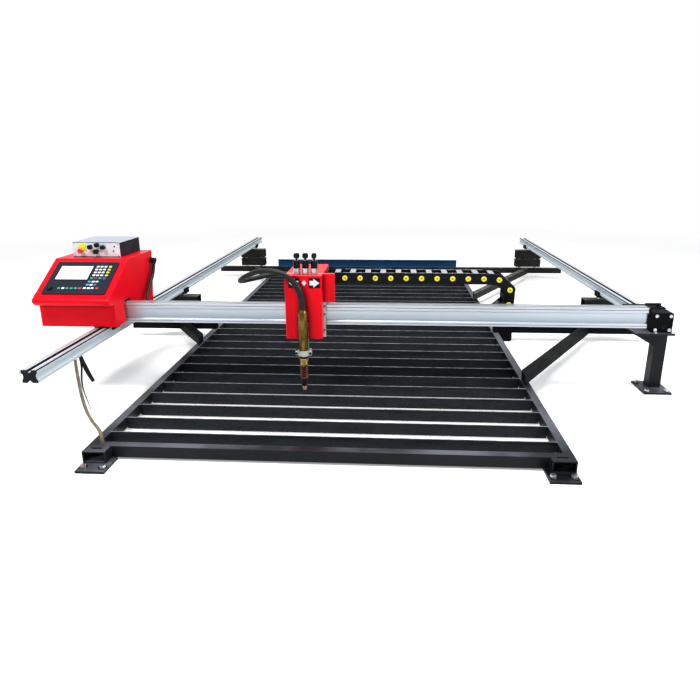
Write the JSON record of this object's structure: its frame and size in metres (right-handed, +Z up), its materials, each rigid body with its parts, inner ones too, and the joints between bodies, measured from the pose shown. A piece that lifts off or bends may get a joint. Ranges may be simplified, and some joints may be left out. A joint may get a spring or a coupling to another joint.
{
  "type": "gantry cutting machine",
  "caption": "Low gantry cutting machine: slatted table, side rails on arms, a crossing beam with control console, cable chain and a lifting torch carriage.",
  "frame": {"origin": "floor level, under the centre of the machine's outline", "axes": "+X along the beam to the right, +Y along the rails to the back, +Z up"},
  "size_m": [2.73, 3.491, 0.596],
  "materials": {
    "black_paint": "satin black paint",
    "bare_steel": "hot rolled flat bar",
    "zinc_steel": "zinc plated",
    "blue_paint": "dark blue paint",
    "anodised": "satin anodised",
    "black_plastic": "moulded",
    "red_paint": "red powder coat",
    "navy": "navy coat",
    "pale": "pale coat",
    "screen": "display window",
    "yellow": "printed plate",
    "stop_red": "moulded",
    "chrome": "plated",
    "brass": "turned",
    "hose_rubber": "hose",
    "khaki": "cable sheath"
  },
  "bodies": {
    "machine_base": {"table_frame": "black_paint", "table_slats": "bare_steel", "floor_anchor_bolts": "zinc_steel", "rear_panel": "blue_paint", "back_cross_arm": "black_paint", "mid_arms": "black_paint", "riser_tubes": "black_paint", "rail_saddles": "black_paint", "levelling_screws": "zinc_steel", "left_rail": "anodised", "right_rail": "anodised", "rail_end_caps": "black_plastic", "right_leg": "black_paint", "rail_end_block": "black_paint", "block_bolts": "zinc_steel", "travel_rack": "zinc_steel", "earth_cable": "khaki"},
    "gantry": {"beam": "anodised", "cross_rack": "zinc_steel", "right_carriage": "black_paint", "left_carriage": "black_paint", "console_housing": "red_paint", "controller_panel": "navy", "controller_screen": "screen", "port_cap": "black_plastic", "height_box_case": "navy", "height_box_cover": "pale", "estop_plate": "yellow", "console_conduit": "hose_rubber", "travel_motor": "black_paint", "chain_tray": "anodised", "chain_lower_run": "black_plastic"},
    "torch_carriage": {"carriage_plate": "anodised", "lifter_cover": "red_paint", "rear_cover": "red_paint", "chain_upper_run": "black_plastic", "valve_bodies": "chrome", "carriage_motors": "black_paint"},
    "torch_lift": {"torch_holder": "anodised", "torch_body": "brass", "torch_shield": "brass", "torch_collar": "black_plastic", "torch_tip": "brass", "torch_hose": "hose_rubber"},
    "clamp_lever": {"clamp_lever": "black_paint"},
    "estop_button": {"estop_button": "stop_red"},
    "setting_knob_1": {"setting_knob_1": "black_plastic"},
    "setting_knob_2": {"setting_knob_2": "black_plastic"},
    "setting_knob_3": {"setting_knob_3": "black_plastic"},
    "setting_knob_4": {"setting_knob_4": "black_plastic"},
    "travel_pinion": {"travel_pinion": "zinc_steel"},
    "left_front_roller": {"left_front_roller": "zinc_steel"},
    "left_rear_roller": {"left_rear_roller": "zinc_steel"},
    "right_roller": {"right_roller": "zinc_steel"},
    "chain_turn": {"chain_turn": "black_plastic"},
    "valve_knob_1": {"valve_knob_1": "black_plastic"},
    "valve_knob_2": {"valve_knob_2": "black_plastic"},
    "valve_knob_3": {"valve_knob_3": "black_plastic"},
    "traverse_pinion": {"traverse_pinion": "zinc_steel"},
    "lift_screw": {"lift_screw": "zinc_steel"}
  },
  "joints": [
    {"name": "gantry_travel", "type": "slide", "parent": "machine_base", "child": "gantry", "axis": [0, 1, 0], "range_m": [0, 2.4]},
    {"name": "torch_traverse", "type": "slide", "parent": "gantry", "child": "torch_carriage", "axis": [1, 0, 0], "range_m": [-0.42, 0.85], "deforming": ["chain_upper_run", "chain_lower_run"]},
    {"name": "chain_roll", "type": "slide", "parent": "gantry", "child": "chain_turn", "axis": [1, 0, 0], "range_m": [-0.215, 0.43]},
    {"name": "torch_lift_slide", "type": "slide", "parent": "torch_carriage", "child": "torch_lift", "axis": [0, 0, 1], "range_m": [0, 0.1], "deforming": ["torch_hose"]},
    {"name": "estop_press", "type": "slide", "parent": "gantry", "child": "estop_button", "axis": [0, 1, 0], "range_m": [0, 0.006], "stiffness_N_per_m": 400},
    {"name": "lever_turn", "type": "hinge", "parent": "gantry", "child": "clamp_lever", "pos_m": [1.118, -0.84, 0.338], "axis": [0, 0, 1], "range_deg": [-60, 60]},
    {"name": "left_front_roll", "type": "hinge", "parent": "gantry", "child": "left_front_roller", "pos_m": [-1.09, -1.09, 0.3084], "axis": [-1, 0, 0], "continuous": true},
    {"name": "left_rear_roll", "type": "hinge", "parent": "gantry", "child": "left_rear_roller", "pos_m": [-1.09, -0.85, 0.3084], "axis": [-1, 0, 0], "continuous": true},
    {"name": "right_roll", "type": "hinge", "parent": "gantry", "child": "right_roller", "pos_m": [1.1, -0.835, 0.3084], "axis": [-1, 0, 0], "continuous": true},
    {"name": "travel_pinion_turn", "type": "hinge", "parent": "gantry", "child": "travel_pinion", "pos_m": [-1.1374, -0.97, 0.285], "axis": [0, 0, -1], "continuous": true},
    {"name": "traverse_pinion_turn", "type": "hinge", "parent": "torch_carriage", "child": "traverse_pinion", "pos_m": [-0.29, -0.9966, 0.364], "axis": [0, 0, -1], "continuous": true},
    {"name": "lift_screw_turn", "type": "hinge", "parent": "torch_carriage", "child": "lift_screw", "pos_m": [-0.306, -1.101, 0.35], "axis": [0, 0, 1], "continuous": true},
    {"name": "setting_1_turn", "type": "hinge", "parent": "gantry", "child": "setting_knob_1", "pos_m": [-1.195, -0.945, 0.577], "axis": [0, 1, 0], "range_deg": [-135, 135]},
    {"name": "setting_2_turn", "type": "hinge", "parent": "gantry", "child": "setting_knob_2", "pos_m": [-1.166, -0.945, 0.585], "axis": [0, 1, 0], "range_deg": [-135, 135]},
    {"name": "setting_3_turn", "type": "hinge", "parent": "gantry", "child": "setting_knob_3", "pos_m": [-1.142, -0.945, 0.576], "axis": [0, 1, 0], "range_deg": [-135, 135]},
    {"name": "setting_4_turn", "type": "hinge", "parent": "gantry", "child": "setting_knob_4", "pos_m": [-1.172, -0.945, 0.559], "axis": [0, 1, 0], "range_deg": [-135, 135]},
    {"name": "valve_1_turn", "type": "hinge", "parent": "torch_carriage", "child": "valve_knob_1", "pos_m": [-0.333, -1.084, 0.56], "axis": [0, 0, 1], "range_deg": [-180, 180]},
    {"name": "valve_2_turn", "type": "hinge", "parent": "torch_carriage", "child": "valve_knob_2", "pos_m": [-0.3, -1.084, 0.56], "axis": [0, 0, 1], "range_deg": [-180, 180]},
    {"name": "valve_3_turn", "type": "hinge", "parent": "torch_carriage", "child": "valve_knob_3", "pos_m": [-0.267, -1.084, 0.56], "axis": [0, 0, 1], "range_deg": [-180, 180]}
  ],
  "couplings": [
    {"joint": "chain_roll", "follows": "torch_traverse", "ratio": 0.5},
    {"joint": "left_front_roll", "follows": "gantry_travel", "rad_per_m": 71.429},
    {"joint": "left_rear_roll", "follows": "gantry_travel", "rad_per_m": 71.429},
    {"joint": "right_roll", "follows": "gantry_travel", "rad_per_m": 71.429},
    {"joint": "travel_pinion_turn", "follows": "gantry_travel", "rad_per_m": 83.333},
    {"joint": "traverse_pinion_turn", "follows": "torch_traverse", "rad_per_m": 83.333},
    {"joint": "lift_screw_turn", "follows": "torch_lift_slide", "rad_per_m": 1256.6}
  ]
}
